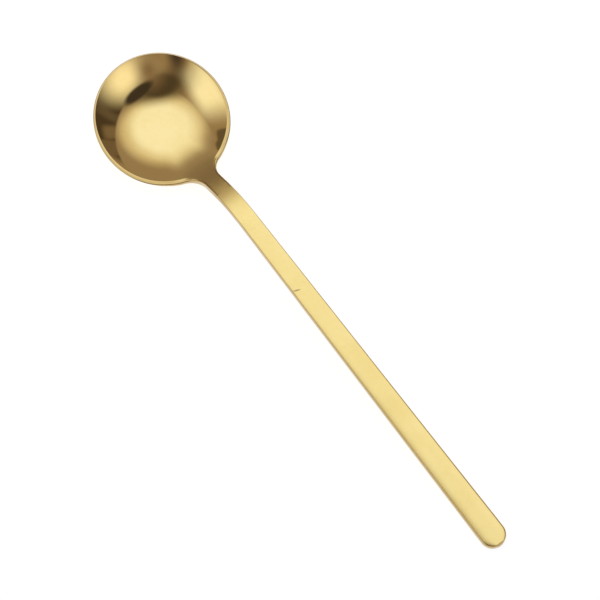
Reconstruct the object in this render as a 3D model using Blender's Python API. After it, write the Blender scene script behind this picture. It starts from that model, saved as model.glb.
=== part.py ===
"""Coffee spoon with a round pressed bowl and a long tapered handle, lying on a table.

Metres. X runs along the spoon from the bowl's tip to the handle's end, Y across it and Z up from the table.
The shape is worked out from the centre of the bowl, and both pieces hang from one frame that puts the middle of
the spoon's length at x = 0.
"""

import bmesh
import bpy
import numpy as np

# Bowl
OVERALL_LENGTH = 0.1300
BOWL_LENGTH = 0.0296
BOWL_WIDTH = 0.0286
BOWL_DEPTH = 0.0044
RIM_DROP = 0.0024  # the rim is this much higher at the tip than at the neck
SHEET = 0.0008  # thickness of the pressed sheet
RIM_EDGE = 0.00045  # width of the sheet's cut edge along the rim, seen from above
RIM_CANT = np.radians(52.0)  # the cut edge leans outwards by this much, about square to the wall
REST_FLAT_RADIUS = 0.0025  # flat that the bowl stands on
FLOOR_POWER = 2.0  # 2 is an ellipse; more makes the floor flatter and the wall steeper
WALL_REACH = 1.74  # the wall would stand upright at this multiple of the rim's radius
RIM_ROUND = 0.00018  # rounding of the rim's outer edge

# Neck, with distances along the spoon measured from the bowl's centre
NECK_WIDTH = 0.0038
NECK_FILLET = 0.0042  # plan radius between the bowl's rim and the neck
NECK_START = 0.0113  # where the ramp leaves the hollow
NECK_END = 0.0310  # where the ramp has become the straight handle
NECK_HEIGHT = 0.0098  # top of the handle above the table at the neck's end
RAMP_PULL = 0.38  # how long the ramp keeps the hollow's slope
CREST_PULL = 0.45  # how early the ramp takes the handle's slope
CHANNEL_INNER = np.radians(4.0)  # the ramp is full inside this angle at the bowl's centre
CHANNEL_OUTER = np.radians(32.0)  # and has died into the wall outside this one

# Handle
HANDLE_THICKNESS = 0.0020
HANDLE_END_WIDTH = 0.0057
HANDLE_END_RADIUS = 0.0028
HANDLE_TIP_FLAT = 0.0004  # half the width of the blunt tip of the end's arc
HANDLE_EDGE_ROUND = 0.0007  # rounding of the handle's edges at its end; at the neck it is the rim's

# Lap joint at the neck
LIP_REACH = 0.0220  # end of the bowl's lip
TONGUE_REACH = 0.0070  # length of the handle's tongue under the lip
TONGUE_TIP = 0.0004  # thickness of the tongue at its front
SHOULDER_RUN = 0.00015  # slant of the shoulder that the lip ends against
JOINT_GAP = 0.0003

# Fineness of the surfaces
BOWL_ARC_STEPS = 36
FILLET_STEPS = 6
LIP_SIDE_STEPS = 5
LIP_END_STEPS = 2
WALL_STEPS = 14
CORNER_STEPS = 4
TONGUE_STEPS = 16
NECK_STEPS = 14
SHAFT_STEPS = 5
END_STEPS = 10
CURVE_SAMPLES = 240

HALF_LENGTH = BOWL_LENGTH / 2
HALF_WIDTH = BOWL_WIDTH / 2
MEAN_RADIUS = (HALF_LENGTH + HALF_WIDTH) / 2
INNER_RADIUS = MEAN_RADIUS - RIM_EDGE
HANDLE_TIP = OVERALL_LENGTH - HALF_LENGTH
SHOULDER = LIP_REACH + JOINT_GAP
END_ARC = np.sqrt(HANDLE_END_RADIUS**2 - HANDLE_TIP_FLAT**2)  # length of the rounded end
HANDLE_RUN = HANDLE_TIP - HANDLE_EDGE_ROUND - NECK_END
SLANT = np.hypot(1.0, (NECK_HEIGHT - HANDLE_THICKNESS) / HANDLE_RUN)  # upright depth of the sloping bar, as a multiple
END_HEIGHT = HANDLE_THICKNESS * SLANT + HANDLE_EDGE_ROUND * (SLANT - 1.0)  # puts the rounded end on the table
HANDLE_FALL = (NECK_HEIGHT - END_HEIGHT) / HANDLE_RUN
SLOPE_STEP = 1e-7


def smoothstep(value):
    """Ease from 0 to 1 with level ends."""
    value = np.clip(value, 0.0, 1.0)
    return value * value * (3.0 - 2.0 * value)


def wall_curve(radius):
    """Unscaled height of the hollow at a radius: a superellipse, level at the centre."""
    share = (radius / (INNER_RADIUS * WALL_REACH)) ** FLOOR_POWER
    return 1.0 - (1.0 - share) ** (1.0 / FLOOR_POWER)


FLOOR_LEVEL = wall_curve(REST_FLAT_RADIUS)
RIM_LEVEL = wall_curve(INNER_RADIUS)
RIM_SLOPE = (RIM_LEVEL - wall_curve(INNER_RADIUS - SLOPE_STEP)) / SLOPE_STEP


def hollow_height(x, y):
    """Upper surface of the bowl: flat floor, superellipse wall, and a straight run beyond the rim's radius."""
    radius = MEAN_RADIUS * np.hypot(x / HALF_LENGTH, y / HALF_WIDTH)
    inside = np.clip(radius, REST_FLAT_RADIUS, INNER_RADIUS)
    rise = wall_curve(inside) - FLOOR_LEVEL + RIM_SLOPE * np.maximum(radius - INNER_RADIUS, 0.0)
    share = rise / (RIM_LEVEL - FLOOR_LEVEL)
    return SHEET + share * (BOWL_DEPTH - RIM_DROP * x / BOWL_LENGTH)


def ramp_points():
    """The neck's top line from hollow to handle: a Bezier curve that keeps both slopes at its ends."""
    start = np.array([NECK_START, hollow_height(NECK_START, 0.0)])
    ahead = np.array([SLOPE_STEP, hollow_height(NECK_START + SLOPE_STEP, 0.0) - start[1]])
    end = np.array([NECK_END, NECK_HEIGHT])
    along = np.array([1.0, -HANDLE_FALL])
    reach = NECK_END - NECK_START
    leave = start + RAMP_PULL * reach * ahead / np.linalg.norm(ahead)
    arrive = end - CREST_PULL * reach * along / np.linalg.norm(along)
    t = np.linspace(0.0, 1.0, CURVE_SAMPLES)[:, None]
    return (1 - t) ** 3 * start + 3 * (1 - t) ** 2 * t * leave + 3 * (1 - t) * t**2 * arrive + t**3 * end


RAMP = ramp_points()


def neck_height(x):
    """Top line of the spoon: the hollow, then the ramp, then the handle's straight fall to the table."""
    ramp = np.interp(x, RAMP[:, 0], RAMP[:, 1])
    handle = NECK_HEIGHT - HANDLE_FALL * (x - NECK_END)
    return np.where(x < NECK_START, hollow_height(x, 0.0), np.where(x > NECK_END, handle, ramp))


def top_height(x, y):
    """Upper surface of bowl and lip: the hollow, opened towards the neck by the ramp."""
    angle = np.abs(np.arctan2(y, x))
    share = smoothstep((CHANNEL_OUTER - angle) / (CHANNEL_OUTER - CHANNEL_INNER))
    return (1.0 - share) * hollow_height(x, y) + share * neck_height(x)


def under_height(x, y, depth):
    """Surface a given depth below the upper one, measured square to it."""
    slope_x = (top_height(x + SLOPE_STEP, y) - top_height(x - SLOPE_STEP, y)) / (2 * SLOPE_STEP)
    slope_y = (top_height(x, y + SLOPE_STEP) - top_height(x, y - SLOPE_STEP)) / (2 * SLOPE_STEP)
    return top_height(x, y) - depth * np.sqrt(1.0 + slope_x**2 + slope_y**2)


def fillet_start():
    """Angle on the bowl's ellipse where the fillet to the neck touches it, found by halving."""
    low, high = 0.0, np.pi / 3
    for _ in range(50):
        angle = (low + high) / 2
        if fillet_centre(angle)[1] < NECK_WIDTH / 2 + NECK_FILLET:
            low = angle
        else:
            high = angle
    return angle


def fillet_centre(angle):
    """Point one fillet radius outside the bowl's ellipse."""
    normal = np.array([HALF_WIDTH * np.cos(angle), HALF_LENGTH * np.sin(angle)])
    point = np.array([HALF_LENGTH * np.cos(angle), HALF_WIDTH * np.sin(angle)])
    return point + NECK_FILLET * normal / np.linalg.norm(normal)


def bowl_outline():
    """Plan of the bowl with its lip, counter-clockwise, and how far each point belongs to the neck."""
    touch = fillet_start()
    centre = fillet_centre(touch)
    side = NECK_WIDTH / 2
    lip_end = np.stack([np.full(LIP_END_STEPS, LIP_REACH), np.linspace(0.0, side, LIP_END_STEPS, endpoint=False)], 1)
    side_x = np.linspace(LIP_REACH, centre[0], LIP_SIDE_STEPS, endpoint=False)
    lip_side = np.stack([side_x, np.full(LIP_SIDE_STEPS, side)], 1)
    point = np.array([HALF_LENGTH * np.cos(touch), HALF_WIDTH * np.sin(touch)])
    last = np.arctan2(point[1] - centre[1], point[0] - centre[0]) % (2 * np.pi)
    turn = np.linspace(1.5 * np.pi, last, FILLET_STEPS, endpoint=False)
    fillet = centre + NECK_FILLET * np.stack([np.cos(turn), np.sin(turn)], 1)
    angle = np.linspace(touch, np.pi, BOWL_ARC_STEPS + 1)
    arc = np.stack([HALF_LENGTH * np.cos(angle), HALF_WIDTH * np.sin(angle)], 1)
    upper = np.concatenate([lip_end, lip_side, fillet, arc])
    on_fillet = 1.0 - smoothstep(np.arange(FILLET_STEPS) / FILLET_STEPS)
    neck_share = np.concatenate([np.ones(LIP_END_STEPS + LIP_SIDE_STEPS), on_fillet, np.zeros(BOWL_ARC_STEPS + 1)])
    lower = upper[-2:0:-1] * [1.0, -1.0]
    return np.concatenate([upper, lower]), np.concatenate([neck_share, neck_share[-2:0:-1]])


def inward_normals(outline):
    """Unit plan normals of a counter-clockwise outline, pointing inside."""
    along = np.roll(outline, -1, 0) - np.roll(outline, 1, 0)
    inward = np.stack([-along[:, 1], along[:, 0]], 1)
    return inward / np.linalg.norm(inward, axis=1, keepdims=True)


def ring(plan, height):
    """Space points over a plan line."""
    return np.column_stack([plan, height])


def bowl_rings():
    """Rings of the bowl: out along the underside, over the rim's cut edge, and back down the hollow."""
    outline, neck_share = bowl_outline()
    inward = inward_normals(outline)
    turn = np.linspace(0.0, 2 * np.pi, len(outline), endpoint=False)
    floor = REST_FLAT_RADIUS * np.stack([np.cos(turn), np.sin(turn)], 1)
    inner_edge = outline + RIM_EDGE * inward
    inner_height = top_height(*inner_edge.T)
    steps = np.linspace(0.0, 1.0, WALL_STEPS)

    def rim_ring(inset, lower):
        plan = outline + inset * inward
        cut_edge = inner_height - (RIM_EDGE - inset) * np.tan(RIM_CANT)
        height = (1.0 - neck_share) * cut_edge + neck_share * top_height(*plan.T)
        return ring(plan, height - lower)

    under = [floor + step * (outline - floor) for step in steps]
    rings = [ring(plan, np.maximum(under_height(*plan.T, SHEET), 0.0)) for plan in under]
    round_down = np.minimum(RIM_ROUND, 0.8 * (rim_ring(0.0, 0.0) - rings[-1])[:, 2])
    for angle in np.linspace(0.0, np.pi / 2, CORNER_STEPS):
        rings.append(rim_ring(RIM_ROUND * (1.0 - np.cos(angle)), round_down * (1.0 - np.sin(angle))))
    hollow = [floor + step * (inner_edge - floor) for step in steps[::-1]]
    rings += [ring(plan, top_height(*plan.T)) for plan in hollow]
    return rings


def bar_section(x, half_width, top, bottom, rounding):
    """Rounded rectangle across the handle at one distance along it."""
    rounding = min(rounding, 0.45 * (top - bottom), 0.9 * half_width)
    points = []
    for corner, (side, end) in enumerate([(1, 1), (-1, 1), (-1, -1), (1, -1)]):
        middle_y = side * (half_width - rounding)
        middle_z = top - rounding if end > 0 else bottom + rounding
        for angle in (corner + np.linspace(0.0, 1.0, CORNER_STEPS)) * np.pi / 2:
            points.append((x, middle_y + rounding * np.cos(angle), middle_z + rounding * np.sin(angle)))
    return np.array(points)


def handle_half_width(x):
    """Half the handle's width: straight taper, closed by an arc at the end."""
    taper = np.clip((x - SHOULDER) / (HANDLE_TIP - SHOULDER), 0.0, 1.0)
    straight = (NECK_WIDTH + (HANDLE_END_WIDTH - NECK_WIDTH) * taper) / 2
    past = max(x - (HANDLE_TIP - END_ARC), 0.0)
    return min(straight, np.sqrt(HANDLE_END_RADIUS**2 - past**2))


def tongue_section(share):
    """Section of the tongue, at a share of the way from its front to the shoulder."""
    x = SHOULDER - TONGUE_REACH * (1.0 - share)
    thinnest = SHEET + JOINT_GAP + TONGUE_TIP
    depth = thinnest + (HANDLE_THICKNESS - thinnest) * smoothstep(share)
    half_width = NECK_WIDTH / 2 * np.sqrt(1.0 - 0.8 * max(1.0 - 4.0 * share, 0.0) ** 2)
    return bar_section(
        x, half_width, under_height(x, 0.0, SHEET + JOINT_GAP), under_height(x, 0.0, depth), RIM_ROUND
    )


def handle_section(x):
    """Section of the handle behind the shoulder, with its edges rounded more and more towards the end."""
    taper = (x - SHOULDER) / (HANDLE_TIP - SHOULDER)
    rounding = RIM_ROUND + (HANDLE_EDGE_ROUND - RIM_ROUND) * taper
    past = max(x - (HANDLE_TIP - HANDLE_EDGE_ROUND), 0.0)
    nose = HANDLE_EDGE_ROUND - np.sqrt(max(HANDLE_EDGE_ROUND**2 - past**2, 0.0))
    top = neck_height(x) - nose
    bottom = under_height(x, 0.0, HANDLE_THICKNESS) + nose
    return bar_section(x, handle_half_width(x), top, bottom, rounding)


def handle_rings():
    """Rings of the handle from the tongue's front to the rounded end."""
    tongue = [tongue_section(share) for share in np.linspace(0.0, 1.0, TONGUE_STEPS)]
    neck = np.linspace(SHOULDER + SHOULDER_RUN, NECK_END, NECK_STEPS)
    shaft = np.linspace(NECK_END, HANDLE_TIP - END_ARC, SHAFT_STEPS)[1:]
    end = HANDLE_TIP - END_ARC + END_ARC * np.sin(np.linspace(0.0, np.pi / 2, END_STEPS))[1:]
    return tongue + [handle_section(x) for x in np.concatenate([neck, shaft, end])]


def loft(name, rings, material, frame, collection):
    """Skin a closed solid over rings of points, with a flat face on the first and the last."""
    mesh = bpy.data.meshes.new(name)
    solid = bmesh.new()
    rows = [[solid.verts.new(point) for point in points] for points in rings]
    for near, far in zip(rows, rows[1:]):
        for i in range(len(near)):
            solid.faces.new((near[i - 1], near[i], far[i], far[i - 1]))
    solid.faces.new(rows[0][::-1])
    solid.faces.new(rows[-1])
    bmesh.ops.recalc_face_normals(solid, faces=solid.faces)
    solid.to_mesh(mesh)
    solid.free()
    mesh.materials.append(material)
    piece = bpy.data.objects.new(name, mesh)
    piece.parent = frame
    collection.objects.link(piece)


def gold_steel(name, roughness):
    """Gold-coated stainless steel."""
    material = bpy.data.materials.new(name)
    material.use_nodes = True
    shader = material.node_tree.nodes["Principled BSDF"]
    shader.inputs["Base Color"].default_value = (0.90, 0.68, 0.32, 1.0)
    shader.inputs["Metallic"].default_value = 1.0
    shader.inputs["Roughness"].default_value = roughness
    return material


for old in list(bpy.data.objects):
    bpy.data.objects.remove(old, do_unlink=True)

spoon = bpy.data.collections.new("coffee_spoon")
bpy.context.scene.collection.children.link(spoon)
frame = bpy.data.objects.new("spoon_frame", None)
frame.location.x = HALF_LENGTH - OVERALL_LENGTH / 2
spoon.objects.link(frame)

loft("bowl", bowl_rings(), gold_steel("polished_gold", 0.12), frame, spoon)
loft("handle", handle_rings(), gold_steel("satin_gold", 0.28), frame, spoon)
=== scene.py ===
"""Gold coffee spoon lying on a pale table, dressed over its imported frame.

Metres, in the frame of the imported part: X runs along the spoon from the bowl's tip to the handle's end,
Y across it and Z up from the table. As in the part's source, the shape is worked out from the centre of
the bowl.
"""

import bpy
import numpy as np
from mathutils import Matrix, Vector


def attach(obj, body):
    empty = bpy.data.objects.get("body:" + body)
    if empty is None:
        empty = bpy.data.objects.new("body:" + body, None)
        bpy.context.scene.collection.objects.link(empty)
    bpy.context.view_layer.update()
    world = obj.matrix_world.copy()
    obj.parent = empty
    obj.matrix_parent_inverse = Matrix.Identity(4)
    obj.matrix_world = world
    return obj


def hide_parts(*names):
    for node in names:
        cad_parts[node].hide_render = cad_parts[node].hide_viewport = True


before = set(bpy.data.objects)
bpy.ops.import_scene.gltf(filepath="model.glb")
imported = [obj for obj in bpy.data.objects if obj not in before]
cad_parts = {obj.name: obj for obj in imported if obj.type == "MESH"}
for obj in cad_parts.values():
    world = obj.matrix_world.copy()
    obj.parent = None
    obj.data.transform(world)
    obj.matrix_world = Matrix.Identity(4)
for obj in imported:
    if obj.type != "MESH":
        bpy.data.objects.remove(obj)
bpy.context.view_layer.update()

# Bowl
OVERALL_LENGTH = 0.1300
BOWL_LENGTH = 0.0296
BOWL_WIDTH = 0.0286
BOWL_DEPTH = 0.0044
RIM_DROP = 0.0024  # the rim is this much higher at the tip than at the neck
SHEET = 0.0008
RIM_EDGE = 0.00045  # width of the sheet's cut edge along the rim, seen from above
RIM_CANT = np.radians(52.0)  # the cut edge leans outwards by this much, about square to the wall
RIM_ROUND = 0.00018
RIM_LAND_CUT = 0.00005  # the polished land inside the cut edge starts this much outside the hollow
RIM_LAND_LEAST = 0.000006  # and this much at the tip, where it all but vanishes
RIM_LAND_GONE = -0.7  # it fades between these places, as shares of half the bowl's length from its centre
RIM_LAND_FULL = -0.1
RIM_LAND_LEAN = np.radians(17.0)  # it leans inwards by this much until it meets the wall
RIM_LAND_LIMIT = 0.00045  # and is never wider than this
LAND_TURN = 0.00002  # width of the turn from land to wall
REST_FLAT_RADIUS = 0.0025  # flat that the bowl stands on
FLOOR_POWER = 2.0  # 2 is an ellipse
WALL_REACH = 1.74  # the wall would stand upright at this multiple of the rim's radius

# Neck, with distances along the spoon measured from the bowl's centre
NECK_WIDTH = 0.0038
NECK_FILLET = 0.0042  # plan radius between the bowl's rim and the neck
FILLET_LIMIT = np.pi / 3  # the fillet touches the bowl within this angle of the spoon's middle line
NECK_START = 0.0113  # where the ramp leaves the hollow
NECK_END = 0.0310  # where the ramp has become the straight handle
NECK_HEIGHT = 0.0098  # top of the handle above the table at the neck's end
RAMP_PULL = 0.38  # how long the ramp keeps the hollow's slope
CREST_PULL = 0.52  # how early it takes the handle's slope, a little earlier than in the part's source
CHANNEL_INNER = np.radians(4.0)  # the ramp is full inside this angle at the bowl's centre
CHANNEL_OUTER = np.radians(32.0)  # and has died into the wall outside this one
LIP_REACH = 0.0220  # where the bowl's lip meets the handle, dressed flush
SWELL_START = 0.0095  # the neck thickens from sheet to bar between these places
SWELL_END = 0.0185

# Handle
HANDLE_THICKNESS = 0.0020
HANDLE_END_WIDTH = 0.0057
HANDLE_END_RADIUS = 0.0028
HANDLE_TIP_FLAT = 0.0004  # half the width of the blunt tip of the end's arc
HANDLE_EDGE_ROUND = 0.0007  # rounding of the lower edges at the end; at the neck it is the rim's
FACE_EDGE_ROUND = 0.0004  # along the upper edges and the nose, which are polished sharper
CROWN_TILT = np.radians(12.0)  # the face leans down this much where it meets the rounded edges
CROWN_WIDTH = 0.0022  # width over which it does so at the end
CROWN_LIMIT = 0.6  # and the most of half the handle's width that this may take
ROUNDING_LIMIT = 0.45  # most of a side's height, or of the handle's width, that one rounding may take

# Fineness of the surfaces
ARC_COLUMNS = 300
FILLET_COLUMNS = 28
LIP_COLUMNS = 22
LIP_END_COLUMNS = 13
UNDER_ROWS = 40
CORNER_ROWS = 7
HANDLE_CORNER_ROWS = 13
EDGE_ROWS = 4
LAND_SHARES = (0.1, 0.4, 0.7, 0.95, 1.0)  # rows across the land, close together at both its edges
HOLLOW_ROWS = 70
NECK_SECTIONS = 70
SHAFT_SECTIONS = 40
END_SECTIONS = 40
SECTION_FLAT_POINTS = 8
CURVE_SAMPLES = 2000
HALVINGS = 50
SHARP_ANGLE = np.radians(50.0)

# Camera
CAMERA_BEARING = np.radians(52.46)
CAMERA_HEIGHT = np.radians(73.0)
CAMERA_DISTANCE = 0.700
CAMERA_AIM = (-0.00042, -0.00147, 0.00578)
CAMERA_LENS = 202.5  # millimetres, as is the sensor
CAMERA_SENSOR = 36.0
CAMERA_NEAREST = 0.01
CAMERA_FARTHEST = 10.0

# Gold coating
BOWL_GOLD = (0.930, 0.745, 0.315)
HANDLE_GOLD = (0.950, 0.755, 0.285)
DEEP_GOLD_SHARE = (0.965, 0.940, 0.870)  # the coating's deeper patches, as a share of its colour
EDGE_SHADE_TAN = (0.500, 0.350, 0.150)  # tan painted on the edges, sides and nose as shade, for the shaded table they reflect; the scuff is tinted towards it too
EDGE_SHADE_SHARE = 0.9  # most of the gold's colour that the painted edge shade replaces
RIM_SHADE_POWER = 4  # how sharply the painted shade ends at the inner side of the rim's cut edge
SIDE_SHADE_SPREAD = 1.5  # how fast the painted shade comes on round the handle's edges and nose, from top to side
POLISHED_ROUGHNESS = 0.05
DRESSED_ROUGHNESS = 0.37  # the neck, dressed by hand after welding
SATIN_ROUGHNESS = 0.20
POLISH_END = -0.0340  # the polish fades into the satin between these places along the spoon
SATIN_START = -0.0280
DRESSED_END = -0.0190  # and the dressing fades along the handle up to here
SCUFF_PLACE = (-0.0019, -0.0012, 0.0081)
SCUFF_TURN = np.radians(15.0)  # from level with the camera
SCUFF_SIZE = (0.00095, 0.00020)  # half the length and half the width of the scuff on the handle
SCUFF_TINT = 0.55
SCUFF_ROUGHNESS = 0.30  # this and the next three add to the roughness
HAZE_ROUGHNESS = 0.02
GRAIN_ROUGHNESS = 0.06
HAIRLINE_ROUGHNESS = 0.06
HAIRLINE_WIDTH = 0.006  # in levels of the noise that the lines are contours of
HAIRLINE_DEPTH = 0.25  # as a share of the grain's height
RELIEF_HEIGHT = 0.000002
RELIEF_STRENGTH = 0.25
TONE_SCALE = 110.0  # scales of noise, per metre
BOWL_HAZE_SCALE = 160.0
HANDLE_HAZE_SCALE = 120.0

# Table and light
TABLE_RADIUS = 2.0
TABLE_SIDES = 96
TABLE_COLOUR = (0.30, 0.30, 0.30)
TABLE_GLOW = (0.85, 0.86, 0.87)
HORIZON_FADE = 0.04  # the room fades to white this far above the level, as the sine of the height
LEAST_SINE = 0.0001  # keeps a card's middle from dividing by nothing

HALF_LENGTH = BOWL_LENGTH / 2
HALF_WIDTH = BOWL_WIDTH / 2
MEAN_RADIUS = (HALF_LENGTH + HALF_WIDTH) / 2
INNER_RADIUS = MEAN_RADIUS - RIM_EDGE
BOWL_CENTRE = HALF_LENGTH - OVERALL_LENGTH / 2
HANDLE_TIP = OVERALL_LENGTH - HALF_LENGTH
END_ARC = np.sqrt(HANDLE_END_RADIUS**2 - HANDLE_TIP_FLAT**2)
HANDLE_RUN = HANDLE_TIP - HANDLE_EDGE_ROUND - NECK_END
SLANT = np.hypot(1.0, (NECK_HEIGHT - HANDLE_THICKNESS) / HANDLE_RUN)
END_HEIGHT = HANDLE_THICKNESS * SLANT + HANDLE_EDGE_ROUND * (SLANT - 1.0)
HANDLE_FALL = (NECK_HEIGHT - END_HEIGHT) / HANDLE_RUN
SLOPE_STEP = 1e-7  # for slopes, and against dividing by nothing


# Shape of the spoon


def smoothstep(value):
    """Ease from 0 to 1 with level ends: three squares less two cubes."""
    value = np.clip(value, 0.0, 1.0)
    return value * value * (3.0 - 2.0 * value)


def wall_curve(radius):
    """Unscaled height of the hollow at a radius: a superellipse, level at the centre."""
    share = (radius / (INNER_RADIUS * WALL_REACH)) ** FLOOR_POWER
    return 1.0 - (1.0 - share) ** (1.0 / FLOOR_POWER)


FLOOR_LEVEL = wall_curve(REST_FLAT_RADIUS)
RIM_LEVEL = wall_curve(INNER_RADIUS)
RIM_SLOPE = (RIM_LEVEL - wall_curve(INNER_RADIUS - SLOPE_STEP)) / SLOPE_STEP


def hollow_height(x, y):
    """Upper surface of the bowl: superellipse to the rim, straight beyond it, tilted by the rim's drop."""
    radius = MEAN_RADIUS * np.hypot(x / HALF_LENGTH, y / HALF_WIDTH)
    rise = wall_curve(np.minimum(radius, INNER_RADIUS)) - FLOOR_LEVEL
    share = (rise + RIM_SLOPE * np.maximum(radius - INNER_RADIUS, 0.0)) / (RIM_LEVEL - FLOOR_LEVEL)
    return SHEET + share * (BOWL_DEPTH - RIM_DROP * x / BOWL_LENGTH)


def ramp_points():
    """The neck's top line from hollow to handle: a Bezier curve that keeps both slopes at its ends."""
    start = np.array([NECK_START, hollow_height(NECK_START, 0.0)])
    ahead = np.array([SLOPE_STEP, hollow_height(NECK_START + SLOPE_STEP, 0.0) - start[1]])
    end = np.array([NECK_END, NECK_HEIGHT])
    along = np.array([1.0, -HANDLE_FALL])
    reach = NECK_END - NECK_START
    leave = start + RAMP_PULL * reach * ahead / np.linalg.norm(ahead)
    arrive = end - CREST_PULL * reach * along / np.linalg.norm(along)
    t = np.linspace(0.0, 1.0, CURVE_SAMPLES)[:, None]
    return (1 - t) ** 3 * start + 3 * (1 - t) ** 2 * t * leave + 3 * (1 - t) * t**2 * arrive + t**3 * end


RAMP = ramp_points()


def neck_height(x):
    """Top line of the spoon: the hollow, then the ramp, then the handle's straight fall to the table."""
    ramp = np.interp(x, RAMP[:, 0], RAMP[:, 1])
    handle = NECK_HEIGHT - HANDLE_FALL * (x - NECK_END)
    return np.where(x < NECK_START, hollow_height(x, 0.0), np.where(x > NECK_END, handle, ramp))


def top_height(x, y):
    """Upper surface of bowl and lip: the hollow, blended by angle into the neck's top line."""
    angle = np.abs(np.arctan2(y, x))
    share = smoothstep((CHANNEL_OUTER - angle) / (CHANNEL_OUTER - CHANNEL_INNER))
    return (1.0 - share) * hollow_height(x, y) + share * neck_height(x)


def metal_depth(x):
    """Thickness of the metal along the spoon: sheet in the bowl, easing to the bar's through the neck."""
    share = smoothstep((x - SWELL_START) / (SWELL_END - SWELL_START))
    return SHEET + (HANDLE_THICKNESS - SHEET) * share


def under_height(x, y):
    """Lower surface: the upper one less the metal's thickness, square to it by central differences."""
    slope_x = (top_height(x + SLOPE_STEP, y) - top_height(x - SLOPE_STEP, y)) / (2 * SLOPE_STEP)
    slope_y = (top_height(x, y + SLOPE_STEP) - top_height(x, y - SLOPE_STEP)) / (2 * SLOPE_STEP)
    lower = top_height(x, y) - metal_depth(x) * np.sqrt(1.0 + slope_x**2 + slope_y**2)
    return np.maximum(lower, 0.0)


def fillet_centre(angle):
    """Point one fillet radius outside the bowl's ellipse, square to it."""
    normal = np.array([HALF_WIDTH * np.cos(angle), HALF_LENGTH * np.sin(angle)])
    point = np.array([HALF_LENGTH * np.cos(angle), HALF_WIDTH * np.sin(angle)])
    return point + NECK_FILLET * normal / np.linalg.norm(normal)


def fillet_start():
    """Angle on the bowl's ellipse where the fillet to the neck touches it, found by halving."""
    low, high = 0.0, FILLET_LIMIT
    for _ in range(HALVINGS):
        angle = (low + high) / 2
        if fillet_centre(angle)[1] < NECK_WIDTH / 2 + NECK_FILLET:
            low = angle
        else:
            high = angle
    return angle


def bowl_outline():
    """Plan of the bowl with its lip, counter-clockwise from the lower corner of the lip's end.

    One side is the lip's straight edge, the fillet's arc and half the ellipse; the other side mirrors it.
    With each point come its unit normal into the metal, how far it belongs to the neck, and whether it is
    on the lip's end.
    """
    side = NECK_WIDTH / 2
    touch = fillet_start()
    centre = fillet_centre(touch)
    reach = side - RIM_EDGE - RIM_LAND_LIMIT
    end_y = np.linspace(-reach, reach, LIP_END_COLUMNS)
    end = np.stack([np.full_like(end_y, LIP_REACH), end_y], 1)
    lip_x = np.linspace(LIP_REACH, centre[0], LIP_COLUMNS, endpoint=False)
    lip = np.stack([lip_x, np.full_like(lip_x, side)], 1)
    point = np.array([HALF_LENGTH * np.cos(touch), HALF_WIDTH * np.sin(touch)])
    last = np.arctan2(point[1] - centre[1], point[0] - centre[0]) % (2 * np.pi)
    turn = np.linspace(1.5 * np.pi, last, FILLET_COLUMNS, endpoint=False)
    fillet_out = np.stack([np.cos(turn), np.sin(turn)], 1)
    angle = np.linspace(touch, np.pi, ARC_COLUMNS // 2 + 1)
    arc = np.stack([HALF_LENGTH * np.cos(angle), HALF_WIDTH * np.sin(angle)], 1)
    arc_in = -np.stack([HALF_WIDTH * np.cos(angle), HALF_LENGTH * np.sin(angle)], 1)
    arc_in /= np.linalg.norm(arc_in, axis=1, keepdims=True)
    upper = np.concatenate([lip, centre + NECK_FILLET * fillet_out, arc])
    inward = np.concatenate([np.tile([0.0, -1.0], (LIP_COLUMNS, 1)), fillet_out, arc_in])
    eased = 1.0 - smoothstep(np.arange(FILLET_COLUMNS) / FILLET_COLUMNS)
    neck = np.concatenate([np.ones(LIP_COLUMNS), eased, np.zeros(len(arc))])
    mirror = np.array([1.0, -1.0])
    plan = np.concatenate([end, upper, upper[-2::-1] * mirror])
    inward = np.concatenate([np.tile([-1.0, 0.0], (len(end), 1)), inward, inward[-2::-1] * mirror])
    neck = np.concatenate([np.ones(len(end)), neck, neck[-2::-1]])
    return plan, inward, neck, np.arange(len(plan)) < len(end)


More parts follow.
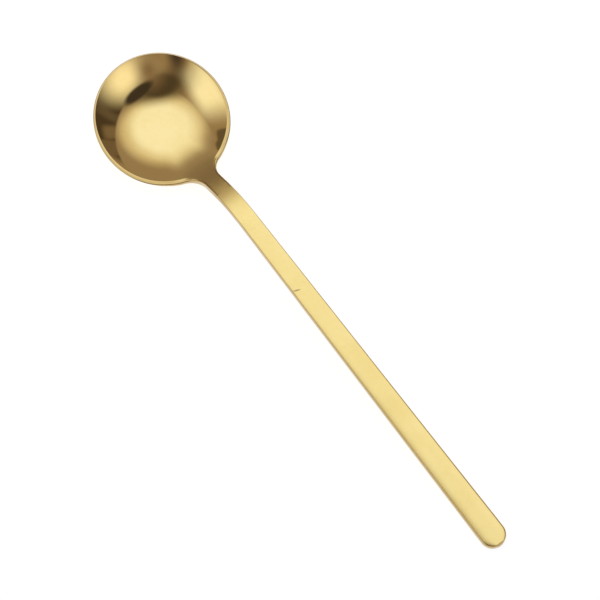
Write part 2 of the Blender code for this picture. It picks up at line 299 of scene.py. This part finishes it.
def bowl_rings():
    """Rings of the bowl, and how much each point is on an edge, which is how much painted shade it gets.

    They run from the middle of the underside out to the rim, round its lower and upper corner as quarter
    turns, over the cut edge and the narrow land inside it, and down the hollow to the middle. At the lip's
    end both corners stay square, so that it meets the handle flush.
    """
    plan, inward, neck, on_end = bowl_outline()
    inner_level = top_height(*(plan + RIM_EDGE * inward).T)

    def inset_plan(inset):
        return plan + np.broadcast_to(inset, len(plan))[:, None] * inward

    def rim_height(inset):
        cut_edge = inner_level - (RIM_EDGE - inset) * np.tan(RIM_CANT)
        return (1.0 - neck) * cut_edge + neck * top_height(*inset_plan(inset).T)

    def ring(inset, height):
        return np.column_stack([inset_plan(inset), height])

    side_height = rim_height(0.0) - under_height(*plan.T)
    corner = np.minimum(RIM_ROUND, ROUNDING_LIMIT * side_height)
    quarter = np.linspace(0.0, np.pi / 2, CORNER_ROWS)
    low_start = under_height(*inset_plan(corner).T)
    low_end = under_height(*plan.T) + np.where(on_end, 0.0, corner)
    high_start = rim_height(0.0) - corner
    high_end = np.where(on_end, rim_height(0.0), rim_height(corner))
    rings = []
    for share in np.linspace(0.0, 1.0, UNDER_ROWS)[1:-1]:
        inner = share * inset_plan(corner)
        rings.append(np.column_stack([inner, under_height(*inner.T)]))
    for angle in quarter:
        inset = corner * (1.0 - np.sin(angle))
        rings.append(ring(inset, low_start + (low_end - low_start) * (1.0 - np.cos(angle))))
    for angle in quarter:
        inset = np.where(on_end, 0.0, corner * (1.0 - np.cos(angle)))
        rings.append(ring(inset, high_start + (high_end - high_start) * np.sin(angle)))
    along = plan[:, 0] / HALF_LENGTH
    land_share = smoothstep((along - RIM_LAND_GONE) / (RIM_LAND_FULL - RIM_LAND_GONE))
    land_cut = RIM_LAND_LEAST + (RIM_LAND_CUT - RIM_LAND_LEAST) * land_share
    land_start = RIM_EDGE - land_cut
    for share in np.linspace(0.0, 1.0, EDGE_ROWS + 1)[1:]:
        inset = corner + share * (land_start - corner)
        rings.append(ring(inset, rim_height(inset)))
    wall_slope = (inner_level - top_height(*inset_plan(RIM_EDGE + SLOPE_STEP).T)) / SLOPE_STEP
    sunk = land_cut * (np.tan(RIM_CANT) + np.tan(RIM_LAND_LEAN))
    land_reach = sunk / np.maximum(wall_slope - np.tan(RIM_LAND_LEAN), sunk / RIM_LAND_LIMIT)
    land_end = RIM_EDGE + land_reach * (1.0 - neck)
    start_height = rim_height(land_start)
    end_height = top_height(*inset_plan(land_end).T)
    for share in LAND_SHARES:
        inset = land_start + share * (land_end - land_start)
        rings.append(ring(inset, start_height + share * (end_height - start_height)))
    hollow_edge = inset_plan(land_end + LAND_TURN)
    for share in np.linspace(1.0, 0.0, HOLLOW_ROWS)[:-1]:
        inner = share * hollow_edge
        rings.append(np.column_stack([inner, top_height(*inner.T)]))
    rings = np.array(rings)
    outline_distance = np.linalg.norm(rings[..., :2] - plan, axis=2)
    # Painted shade: the rim's cut edge and outer side are darkened towards tan, as if reflecting the shaded
    # table.
    edge = np.where(on_end, 0.0, np.exp(-((outline_distance / RIM_EDGE) ** RIM_SHADE_POWER)))
    return rings, edge


def handle_half_width(x):
    """Half the handle's width: straight taper, closed by an arc at the end."""
    taper = np.clip((x - LIP_REACH) / (HANDLE_TIP - LIP_REACH), 0.0, 1.0)
    straight = (NECK_WIDTH + (HANDLE_END_WIDTH - NECK_WIDTH) * taper) / 2
    past = np.maximum(x - (HANDLE_TIP - END_ARC), 0.0)
    return np.minimum(straight, np.sqrt(HANDLE_END_RADIUS**2 - past**2))


def section_directions():
    """Signs of the four corners of a rounded rectangle, and the angles round each."""
    side = np.array([1.0, -1.0, -1.0, 1.0])
    end = np.array([1.0, 1.0, -1.0, -1.0])
    quarter = np.linspace(0.0, np.pi / 2, HANDLE_CORNER_ROWS)
    angle = np.arange(4)[:, None] * np.pi / 2 + quarter
    return side, end, angle


def handle_rings():
    """Rings of the handle from the neck to its end, and how much each point is on an edge, which is how
    much painted shade it gets.

    Every ring is a rounded rectangle: its width follows the taper and the end's arc, its top the neck's
    line, its thickness is the bar's, its corners are rounded more towards the end, and the end's nose is a
    quarter turn. Extra points lie along its flats. The face is slightly crowned: beside each edge it drops
    with the square of the way across a strip that widens towards the end, and the sides drop with it.
    """
    neck = np.linspace(LIP_REACH, NECK_END, NECK_SECTIONS, endpoint=False)
    shaft = np.linspace(NECK_END, HANDLE_TIP - END_ARC, SHAFT_SECTIONS, endpoint=False)
    tip = HANDLE_TIP - END_ARC + END_ARC * np.sin(np.linspace(0.0, np.pi / 2, END_SECTIONS))
    x = np.concatenate([neck, shaft, tip])
    taper = (x - LIP_REACH) / (HANDLE_TIP - LIP_REACH)
    past = np.maximum(x - (HANDLE_TIP - FACE_EDGE_ROUND), 0.0)
    nose = FACE_EDGE_ROUND - np.sqrt(np.maximum(FACE_EDGE_ROUND**2 - past**2, 0.0))
    top = neck_height(x) - nose
    bottom = under_height(x, 0.0) + nose
    half_width = handle_half_width(x)
    side, end, angle = section_directions()
    full_round = np.where(end > 0, FACE_EDGE_ROUND, HANDLE_EDGE_ROUND)
    rounding = RIM_ROUND + (full_round - RIM_ROUND) * taper[:, None]
    rounding = np.minimum(rounding, ROUNDING_LIMIT * np.minimum(top - bottom, 2 * half_width)[:, None])
    middle_y = (half_width[:, None] - rounding) * side
    middle_z = np.where(end > 0, top[:, None] - rounding, bottom[:, None] + rounding)
    y = middle_y[:, :, None] + rounding[:, :, None] * np.cos(angle)
    z = middle_z[:, :, None] + rounding[:, :, None] * np.sin(angle)
    share = np.linspace(0.0, 1.0, SECTION_FLAT_POINTS + 2)[1:-1]
    flat_y = y[:, :, -1:] + (np.roll(y, -1, 1)[:, :, :1] - y[:, :, -1:]) * share
    flat_z = z[:, :, -1:] + (np.roll(z, -1, 1)[:, :, :1] - z[:, :, -1:]) * share
    y = np.concatenate([y, flat_y], 2).reshape(len(x), -1)
    z = np.concatenate([z, flat_z], 2).reshape(len(x), -1)
    crown = np.minimum(CROWN_WIDTH * taper, CROWN_LIMIT * half_width)[:, None] + SLOPE_STEP
    lean = np.maximum(np.abs(y) - half_width[:, None] + crown, 0.0) / crown
    raised = (z - bottom[:, None]) / (top - bottom)[:, None]
    z = z - 0.5 * np.tan(CROWN_TILT) * crown * lean**2 * raised
    rings = np.stack([np.broadcast_to(x[:, None], y.shape), y, z], 2)
    on_flat = np.repeat([[0.0], [1.0], [0.0], [1.0]], SECTION_FLAT_POINTS, 1)
    # Painted shade: the sides and the nose are darkened towards tan, for the shaded table they reflect.
    on_side = np.concatenate([smoothstep(SIDE_SHADE_SPREAD * np.abs(np.cos(angle))), on_flat], 1).ravel()
    edge = np.maximum(on_side, SIDE_SHADE_SPREAD * (past / FACE_EDGE_ROUND)[:, None])
    return rings, edge


def skin(name, rings, edge, caps, material):
    """Mesh over closed rings of points, each end closed by a point in the middle or by a flat face.

    Neighbouring rings are joined point by point in quads. caps says "point" or "face" for the first and
    the last ring.
    """
    count, around = rings.shape[:2]
    points = rings.reshape(-1, 3) + [BOWL_CENTRE, 0.0, 0.0]
    painted_shade = edge.ravel()
    index = np.arange(count * around).reshape(count, around)
    near, far = index[:-1], index[1:]
    quads = np.stack([near, np.roll(near, -1, 1), np.roll(far, -1, 1), far], 2).reshape(-1, 4)
    faces = quads.tolist()
    for loop, cap in ((index[0][::-1], caps[0]), (index[-1], caps[1])):
        if cap == "face":
            faces.append(loop.tolist())
            continue
        middle = points[loop].mean(0)
        pole = np.full(around, len(points))
        points = np.vstack([points, middle])
        painted_shade = np.append(painted_shade, 0.0)
        faces += np.stack([loop, np.roll(loop, -1), pole], 1).tolist()
    mesh = bpy.data.meshes.new(name)
    mesh.from_pydata(points.tolist(), [], faces)
    mesh.polygons.foreach_set("use_smooth", np.ones(len(mesh.polygons), bool))
    mesh.set_sharp_from_angle(angle=SHARP_ANGLE)
    # The painted edge shade, kept per point for the materials.
    mesh.attributes.new("edge_shade", "FLOAT", "POINT").data.foreach_set("value", painted_shade)
    mesh.materials.append(material)
    piece = bpy.data.objects.new(name, mesh)
    bpy.context.scene.collection.objects.link(piece)
    return piece


# Materials


def put(tree, kind, inputs=None, **settings):
    """Add a node, set its settings, and set or link its inputs."""
    made = tree.nodes.new(kind)
    for setting, value in settings.items():
        setattr(made, setting, value)
    for socket, value in (inputs or {}).items():
        if isinstance(value, bpy.types.NodeSocket):
            tree.links.new(value, made.inputs[socket])
        else:
            made.inputs[socket].default_value = value
    return made


def maths(tree, operation, first, second, third=None):
    """Output of a Math node."""
    inputs = {0: first, 1: second}
    if third is not None:
        inputs[2] = third
    return put(tree, "ShaderNodeMath", inputs, operation=operation).outputs[0]


def eased(tree, value, low, high, start=0.0, end=1.0):
    """Output of a Map Range node that eases from start to end while its value goes from low to high."""
    inputs = {"Value": value, "From Min": low, "From Max": high, "To Min": start, "To Max": end}
    return put(tree, "ShaderNodeMapRange", inputs, interpolation_type="SMOOTHSTEP").outputs["Result"]


def noise(tree, vector, scale=1.0, detail=2.0, roughness=0.5, distortion=0.0):
    """Value of a Noise Texture node."""
    inputs = {
        "Vector": vector,
        "Scale": scale,
        "Detail": detail,
        "Roughness": roughness,
        "Distortion": distortion,
    }
    return put(tree, "ShaderNodeTexNoise", inputs).outputs["Fac"]


def stretched(tree, vector, scale, turn=(0.0, 0.0, 0.0)):
    """Vector turned and scaled by a Mapping node."""
    inputs = {"Vector": vector, "Rotation": turn, "Scale": scale}
    return put(tree, "ShaderNodeMapping", inputs).outputs["Vector"]


def new_group(name, inputs, outputs):
    """Shader node group with named sockets, given as pairs of name and kind."""
    group = bpy.data.node_groups.new(name, "ShaderNodeTree")
    for label, kind in inputs:
        group.interface.new_socket(label, in_out="INPUT", socket_type="NodeSocket" + kind)
    for label, kind in outputs:
        group.interface.new_socket(label, in_out="OUTPUT", socket_type="NodeSocket" + kind)
    return group, group.nodes.new("NodeGroupInput").outputs, group.nodes.new("NodeGroupOutput").inputs


def coat_tone_group():
    """Slow drift of the coating's tone: broad patches with a finer mottle on them."""
    group, given, result = new_group(
        "coat_tone", [("Vector", "Vector"), ("Scale", "Float")], [("Tone", "Float")]
    )
    fineness, fine_share = 9.0, 0.3
    fine_scale = maths(group, "MULTIPLY", given["Scale"], fineness)
    broad = noise(group, given["Vector"], given["Scale"], detail=2.0)
    fine = noise(group, given["Vector"], fine_scale, detail=4.0)
    both = maths(group, "MULTIPLY_ADD", fine, fine_share, maths(group, "MULTIPLY", broad, 1.0 - fine_share))
    group.links.new(eased(group, both, low=0.35, high=0.65), result["Tone"])
    return group


def brushed_grain_group():
    """Fine polishing lines along the spoon: noise drawn out along X, in a coarse and a fine set."""
    group, given, result = new_group("brushed_grain", [("Vector", "Vector")], [("Grain", "Float")])
    coarse = noise(group, stretched(group, given["Vector"], (60.0, 5200.0, 5200.0)), detail=3.0)
    fine = noise(group, stretched(group, given["Vector"], (220.0, 14000.0, 14000.0)), detail=2.0)
    both = maths(group, "MULTIPLY_ADD", fine, 0.5, maths(group, "MULTIPLY", coarse, 0.5))
    group.links.new(both, result["Grain"])
    return group


def hairlines_group():
    """Hairline scratches: thin contour lines of two stretched noises, broken up by a third."""
    group, given, result = new_group(
        "hairlines", [("Vector", "Vector"), ("Width", "Float")], [("Lines", "Float")]
    )
    lines = []
    for turn, scale in ((0.6, (900.0, 90.0, 300.0)), (-0.9, (1100.0, 70.0, 300.0))):
        field = noise(group, stretched(group, given["Vector"], scale, (0.0, 0.0, turn)), detail=1.0)
        off = maths(group, "ABSOLUTE", maths(group, "SUBTRACT", field, 0.5), 0.0)
        lines.append(eased(group, off, 0.0, given["Width"], 1.0, 0.0))
    gaps = eased(group, noise(group, given["Vector"], scale=420.0, detail=2.0), low=0.52, high=0.66)
    group.links.new(maths(group, "MULTIPLY", maths(group, "MAXIMUM", *lines), gaps), result["Lines"])
    return group


def handling_haze_group():
    """Faint haze left by fingers: soft islands of noise with a finer ripple inside them."""
    group, given, result = new_group(
        "handling_haze", [("Vector", "Vector"), ("Scale", "Float")], [("Haze", "Float")]
    )
    fineness = 14.0
    islands = noise(group, given["Vector"], given["Scale"], detail=3.0, roughness=0.55, distortion=0.6)
    islands = eased(group, islands, low=0.48, high=0.70)
    ripple = noise(group, given["Vector"], maths(group, "MULTIPLY", given["Scale"], fineness), detail=2.0)
    ripple = eased(group, ripple, low=0.2, high=0.7, start=0.5)
    group.links.new(maths(group, "MULTIPLY", islands, ripple), result["Haze"])
    return group


def shaded_edge_group():
    """Painted shade along an edge: the edge's own share, broken up by noise."""
    group, given, result = new_group(
        "shaded_edge", [("Vector", "Vector"), ("Edge", "Float")], [("Shade", "Float")]
    )
    patches = noise(group, given["Vector"], scale=700.0, detail=4.0, roughness=0.6)
    patches = eased(group, patches, low=0.25, high=0.60, start=0.85)
    group.links.new(maths(group, "MULTIPLY", given["Edge"], patches), result["Shade"])
    return group


def satin_share_group():
    """How far the finish has changed along the spoon between two places, eased."""
    group, given, result = new_group(
        "satin_share", [("Vector", "Vector"), ("From", "Float"), ("To", "Float")], [("Share", "Float")]
    )
    along = put(group, "ShaderNodeSeparateXYZ", {0: given["Vector"]}).outputs["X"]
    group.links.new(eased(group, along, given["From"], given["To"]), result["Share"])
    return group


GROUPS = {
    "satin": satin_share_group(),
    "tone": coat_tone_group(),
    "grain": brushed_grain_group(),
    "hairlines": hairlines_group(),
    "haze": handling_haze_group(),
    "painted_shade": shaded_edge_group(),
}


def effect(tree, name, inputs):
    """Output of one of the shared effects, placed in a material with its own values."""
    return put(tree, "ShaderNodeGroup", inputs, node_tree=GROUPS[name]).outputs[0]


def blended(tree, factor, first, second):
    """Output of a Mix node between two colours."""
    mix = put(tree, "ShaderNodeMix", data_type="RGBA")
    for socket, value in ((mix.inputs["Factor"], factor), (mix.inputs[6], first), (mix.inputs[7], second)):
        if isinstance(value, bpy.types.NodeSocket):
            tree.links.new(value, socket)
        elif isinstance(value, float):
            socket.default_value = value
        else:
            socket.default_value = (*value, 1.0)
    return mix.outputs[2]


def scuff_mask(tree, place):
    """Short dull scuff on the handle: an ellipse round its place, turned level with the camera."""
    inputs = {"Vector": place, "Location": SCUFF_PLACE, "Rotation": (0.0, 0.0, CAMERA_BEARING + SCUFF_TURN)}
    centred = put(tree, "ShaderNodeMapping", inputs, vector_type="TEXTURE").outputs["Vector"]
    half_length, half_width = SCUFF_SIZE
    shares = stretched(tree, centred, (1.0 / half_length, 1.0 / half_width, 0.0))
    offset = put(tree, "ShaderNodeVectorMath", {0: shares}, operation="LENGTH").outputs["Value"]
    return eased(tree, offset, low=0.5, high=1.1, start=1.0, end=0.0)


def gold_coat(name, haze_scale, scuffed):
    """Gold-coated steel, polished in the bowl and satin along the handle.

    The tone drifts, the neck is dressed duller, the satin part has a lengthwise grain, hairlines and haze
    roughen it, and edges are painted tan as shade.
    """
    material = bpy.data.materials.new(name)
    material.use_nodes = True
    tree = material.node_tree
    shader = tree.nodes["Principled BSDF"]
    place = put(tree, "ShaderNodeTexCoord").outputs["Object"]
    edge = put(tree, "ShaderNodeAttribute", attribute_name="edge_shade").outputs["Fac"]
    satin = effect(tree, "satin", {"Vector": place, "From": POLISH_END, "To": SATIN_START})
    shaft = effect(tree, "satin", {"Vector": place, "From": SATIN_START, "To": DRESSED_END})
    tone = effect(tree, "tone", {"Vector": place, "Scale": TONE_SCALE})
    grain = effect(tree, "grain", {"Vector": place})
    lines = effect(tree, "hairlines", {"Vector": place, "Width": HAIRLINE_WIDTH})
    haze = effect(tree, "haze", {"Vector": place, "Scale": haze_scale})
    painted_shade = effect(tree, "painted_shade", {"Vector": place, "Edge": edge})
    gold = blended(tree, satin, BOWL_GOLD, HANDLE_GOLD)
    deep_bowl_gold = np.multiply(BOWL_GOLD, DEEP_GOLD_SHARE)
    deep_handle_gold = np.multiply(HANDLE_GOLD, DEEP_GOLD_SHARE)
    deep_gold = blended(tree, satin, deep_bowl_gold, deep_handle_gold)
    colour = blended(tree, tone, gold, deep_gold)
    # Painted shade: edges darkened towards tan.
    colour = blended(tree, maths(tree, "MULTIPLY", painted_shade, EDGE_SHADE_SHARE), colour, EDGE_SHADE_TAN)
    satin_grain = maths(tree, "MULTIPLY", grain, satin)
    rough = maths(tree, "MULTIPLY_ADD", satin, DRESSED_ROUGHNESS - POLISHED_ROUGHNESS, POLISHED_ROUGHNESS)
    rough = maths(tree, "MULTIPLY_ADD", shaft, SATIN_ROUGHNESS - DRESSED_ROUGHNESS, rough)
    rough = maths(tree, "MULTIPLY_ADD", haze, HAZE_ROUGHNESS, rough)
    rough = maths(tree, "MULTIPLY_ADD", satin_grain, GRAIN_ROUGHNESS, rough)
    rough = maths(tree, "MULTIPLY_ADD", lines, HAIRLINE_ROUGHNESS, rough)
    if scuffed:
        scuff = scuff_mask(tree, place)
        colour = blended(tree, maths(tree, "MULTIPLY", scuff, SCUFF_TINT), colour, EDGE_SHADE_TAN)
        rough = maths(tree, "MULTIPLY_ADD", scuff, SCUFF_ROUGHNESS, rough)
    tree.links.new(colour, shader.inputs["Base Color"])
    tree.links.new(rough, shader.inputs["Roughness"])
    relief = maths(tree, "MULTIPLY_ADD", lines, -HAIRLINE_DEPTH, satin_grain)
    inputs = {"Strength": RELIEF_STRENGTH, "Distance": RELIEF_HEIGHT, "Height": relief}
    bump = put(tree, "ShaderNodeBump", inputs)
    tree.links.new(bump.outputs["Normal"], shader.inputs["Normal"])
    shader.inputs["Metallic"].default_value = 1.0
    return material


# Studio


def table():
    """Pale round table; what looks at it sees it white, and it keeps the spoon's shadow."""
    material = bpy.data.materials.new("pale_table")
    material.use_nodes = True
    tree = material.node_tree
    tree.nodes.remove(tree.nodes["Principled BSDF"])
    path = put(tree, "ShaderNodeLightPath").outputs
    seen = maths(tree, "MAXIMUM", path["Is Camera Ray"], path["Is Glossy Ray"])
    seen = maths(tree, "MAXIMUM", seen, path["Is Transmission Ray"])
    glow = put(tree, "ShaderNodeEmission", {"Color": (*TABLE_GLOW, 1.0), "Strength": seen})
    matt = put(tree, "ShaderNodeBsdfDiffuse", {"Color": (*TABLE_COLOUR, 1.0)})
    both = put(tree, "ShaderNodeAddShader", {0: matt.outputs[0], 1: glow.outputs[0]})
    tree.links.new(both.outputs[0], tree.nodes["Material Output"].inputs["Surface"])
    turn = np.linspace(0.0, 2 * np.pi, TABLE_SIDES, endpoint=False)
    rim = TABLE_RADIUS * np.stack([np.cos(turn), np.sin(turn), np.zeros(TABLE_SIDES)], 1)
    mesh = bpy.data.meshes.new("table")
    mesh.from_pydata(rim.tolist(), [], [list(range(TABLE_SIDES))])
    mesh.materials.append(material)
    top = bpy.data.objects.new("table", mesh)
    bpy.context.scene.collection.objects.link(top)


def soft_card_group():
    """One soft-edged lamp or dark flag far away, laid over what is behind it.

    The angle from the card's middle is split along its two axes, which are one over its half angles long.
    The two shares are joined by a power mean: a power of 2 gives an ellipse and 4 a rounded rectangle. The
    card is full where that mean is under 1 less the edge, and gone where it is over 1 plus the edge.
    """
    group, given, result = new_group(
        "soft_card",
        [
            ("Direction", "Vector"),
            ("Facing", "Vector"),
            ("Across", "Vector"),
            ("Upright", "Vector"),
            ("Power", "Float"),
            ("Edge", "Float"),
            ("Light", "Color"),
            ("Behind", "Color"),
        ],
        [("Colour", "Color")],
    )

    def along(axis):
        inputs = {0: given["Direction"], 1: given[axis]}
        return put(group, "ShaderNodeVectorMath", inputs, operation="DOT_PRODUCT").outputs["Value"]

    def raised(axis):
        return maths(group, "POWER", maths(group, "ABSOLUTE", along(axis), 0.0), given["Power"])

    mean = maths(group, "ADD", raised("Across"), raised("Upright"))
    mean = maths(group, "POWER", mean, maths(group, "DIVIDE", 1.0, given["Power"]))
    angle = maths(group, "ARCCOSINE", along("Facing"), 0.0)
    sine = maths(group, "MAXIMUM", maths(group, "SINE", angle, 0.0), LEAST_SINE)
    offset = maths(group, "MULTIPLY", mean, maths(group, "DIVIDE", angle, sine))
    inner = maths(group, "SUBTRACT", 1.0, given["Edge"])
    outer = maths(group, "ADD", 1.0, given["Edge"])
    mask = eased(group, offset, inner, outer, start=1.0, end=0.0)
    group.links.new(blended(group, mask, given["Behind"], given["Light"]), result["Colour"])
    return group


# Each card: name, bearing from +X, height, roll, half width and half height in degrees, power, softness of
# the edge, and colour. Later cards lie over earlier ones, and the fill behind them all.
ROOM_FILL = (0.32, 0.24, 0.19)
ROOM_CARDS = (
    ("far_wall", 161.5, 4.5, -7.0, 29.0, 18.5, 2.0, 0.65, (0.23, 0.18, 0.16)),
    ("left_sweep", 256.0, 10.0, 0.0, 40.0, 22.0, 2.0, 0.50, (0.80, 0.78, 0.76)),
    ("left_softbox", 254.5, 42.0, -3.5, 23.0, 13.5, 4.0, 0.60, (1.06, 1.06, 1.15)),
    ("left_flag", 202.0, 29.5, 31.0, 6.5, 7.5, 4.0, 0.15, (0.13, 0.10, 0.08)),
    ("right_flag", 66.5, 29.0, -42.5, 34.5, 67.5, 4.0, 0.14, (0.07, 0.05, 0.04)),
    ("right_strip", 67.0, 28.0, -24.5, 4.0, 16.5, 4.0, 0.95, (0.13, 0.10, 0.09)),
    ("right_panel", 86.0, 26.0, -12.0, 6.0, 9.0, 4.0, 0.50, (0.20, 0.15, 0.12)),
    ("right_wall", 98.0, 17.0, -24.0, 6.5, 18.0, 2.0, 0.20, (0.17, 0.12, 0.10)),
    ("right_softbox", 15.5, 36.5, -42.5, 29.5, 22.0, 2.0, 0.71, (1.07, 1.03, 1.05)),
)
DIFFUSER_SHAPE = (135.5, 61.5, 12.5, 43.0, 53.0, 2.0, 0.03)
DIFFUSER_FILL = (0.33, 0.26, 0.23)
DIFFUSER_LAMPS = (
    ("diffuser_glow", 137.0, 68.0, 29.0, 41.5, 33.0, 2.0, 0.18, (0.73, 0.66, 0.60)),
    ("diffuser_core", 142.0, 68.5, 9.0, 30.5, 27.5, 2.0, 0.27, (1.04, 1.07, 1.24)),
    ("diffuser_shade", 174.0, 15.0, 7.0, 22.5, 13.0, 2.0, 0.55, (0.25, 0.20, 0.17)),
)
NEAR_CARDS = (
    ("lens_flag", 326.0, 65.0, 14.0, 28.5, 15.5, 2.0, 0.80, (0.06, 0.05, 0.04)),
    ("lens_edge", 325.0, 63.5, 8.0, 18.5, 13.5, 2.0, 0.32, (0.08, 0.06, 0.05)),
    ("near_wall", 341.5, 42.5, 1.5, 13.0, 18.0, 2.0, 0.95, (0.25, 0.18, 0.15)),
    ("near_gap", 307.0, 24.0, 17.5, 8.0, 23.0, 2.0, 0.85, (0.07, 0.05, 0.05)),
    ("lens_hood", 20.5, 58.5, 75.0, 7.0, 20.0, 2.0, 0.27, (0.05, 0.04, 0.04)),
    ("near_sweep", 322.0, 3.0, 0.0, 70.0, 12.0, 2.0, 0.30, (1.00, 1.00, 1.00)),
)


def card_axes(bearing, height, roll, half_width, half_height):
    """Facing direction of a card, and its two axes square to that, each one over its half angle long."""
    b, h, r = np.radians([bearing, height, roll])
    facing = np.array([np.cos(h) * np.cos(b), np.cos(h) * np.sin(b), np.sin(h)])
    level = np.array([-np.sin(b), np.cos(b), 0.0])
    up = np.cross(facing, level)
    across = (np.cos(r) * level + np.sin(r) * up) / np.radians(half_width)
    upright = (np.cos(r) * up - np.sin(r) * level) / np.radians(half_height)
    return tuple(facing), tuple(across), tuple(upright)


def studio():
    """Soft studio light all round.

    A dim room with its cards, over it a round diffuser lit from behind and shaded at its foot, then the
    cards near the lens, and white at the level of the table.
    """
    world = bpy.data.worlds.new("studio")
    world.use_nodes = True
    bpy.context.scene.world = world
    tree = world.node_tree
    direction = put(tree, "ShaderNodeTexCoord").outputs["Generated"]
    group = soft_card_group()

    def coloured(value):
        return value if isinstance(value, bpy.types.NodeSocket) else (*value, 1.0)

    def card(name, shape, light, behind):
        *place, power, edge = shape
        facing, across, upright = card_axes(*place)
        inputs = {
            "Direction": direction,
            "Facing": facing,
            "Across": across,
            "Upright": upright,
            "Power": power,
            "Edge": edge,
            "Light": coloured(light),
            "Behind": coloured(behind),
        }
        made = put(tree, "ShaderNodeGroup", inputs, node_tree=group, name=name, label=name)
        return made.outputs["Colour"]

    def laid_over(behind, cards):
        for name, *shape, light in cards:
            behind = card(name, shape, light, behind)
        return behind

    room = laid_over(ROOM_FILL, ROOM_CARDS)
    lamps = laid_over(DIFFUSER_FILL, DIFFUSER_LAMPS)
    colour = laid_over(card("diffuser", DIFFUSER_SHAPE, lamps, room), NEAR_CARDS)
    height = put(tree, "ShaderNodeSeparateXYZ", {0: direction}).outputs["Z"]
    low = eased(tree, height, 0.0, HORIZON_FADE, start=1.0, end=0.0)
    colour = blended(tree, low, colour, (1.0, 1.0, 1.0))
    tree.links.new(colour, tree.nodes["Background"].inputs["Color"])


def camera():
    """Camera at the photograph's angle, aimed so that the spoon sits where it does in the frame."""
    data = bpy.data.cameras.new("camera")
    data.lens = CAMERA_LENS
    data.sensor_width = CAMERA_SENSOR
    data.clip_start = CAMERA_NEAREST
    data.clip_end = CAMERA_FARTHEST
    back = Vector((
        np.sin(CAMERA_BEARING) * np.cos(CAMERA_HEIGHT),
        -np.cos(CAMERA_BEARING) * np.cos(CAMERA_HEIGHT),
        np.sin(CAMERA_HEIGHT),
    ))
    eye = bpy.data.objects.new("camera", data)
    eye.location = Vector(CAMERA_AIM) + CAMERA_DISTANCE * back
    eye.rotation_mode = "QUATERNION"
    eye.rotation_quaternion = (-back).to_track_quat("-Z", "Y")
    bpy.context.scene.collection.objects.link(eye)
    bpy.context.scene.camera = eye


camera()
table()
studio()
bpy.context.scene.view_settings.view_transform = "Standard"

polished_gold = gold_coat("polished_gold", BOWL_HAZE_SCALE, scuffed=False)
satin_gold = gold_coat("satin_gold", HANDLE_HAZE_SCALE, scuffed=True)
bowl = skin("spoon_bowl", *bowl_rings(), ("point", "point"), polished_gold)
handle = skin("spoon_handle", *handle_rings(), ("face", "face"), satin_gold)
for piece, node, slot in ((bowl, "bowl", "polished_gold"), (handle, "handle", "satin_gold")):
    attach(piece, "root")
    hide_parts(node)
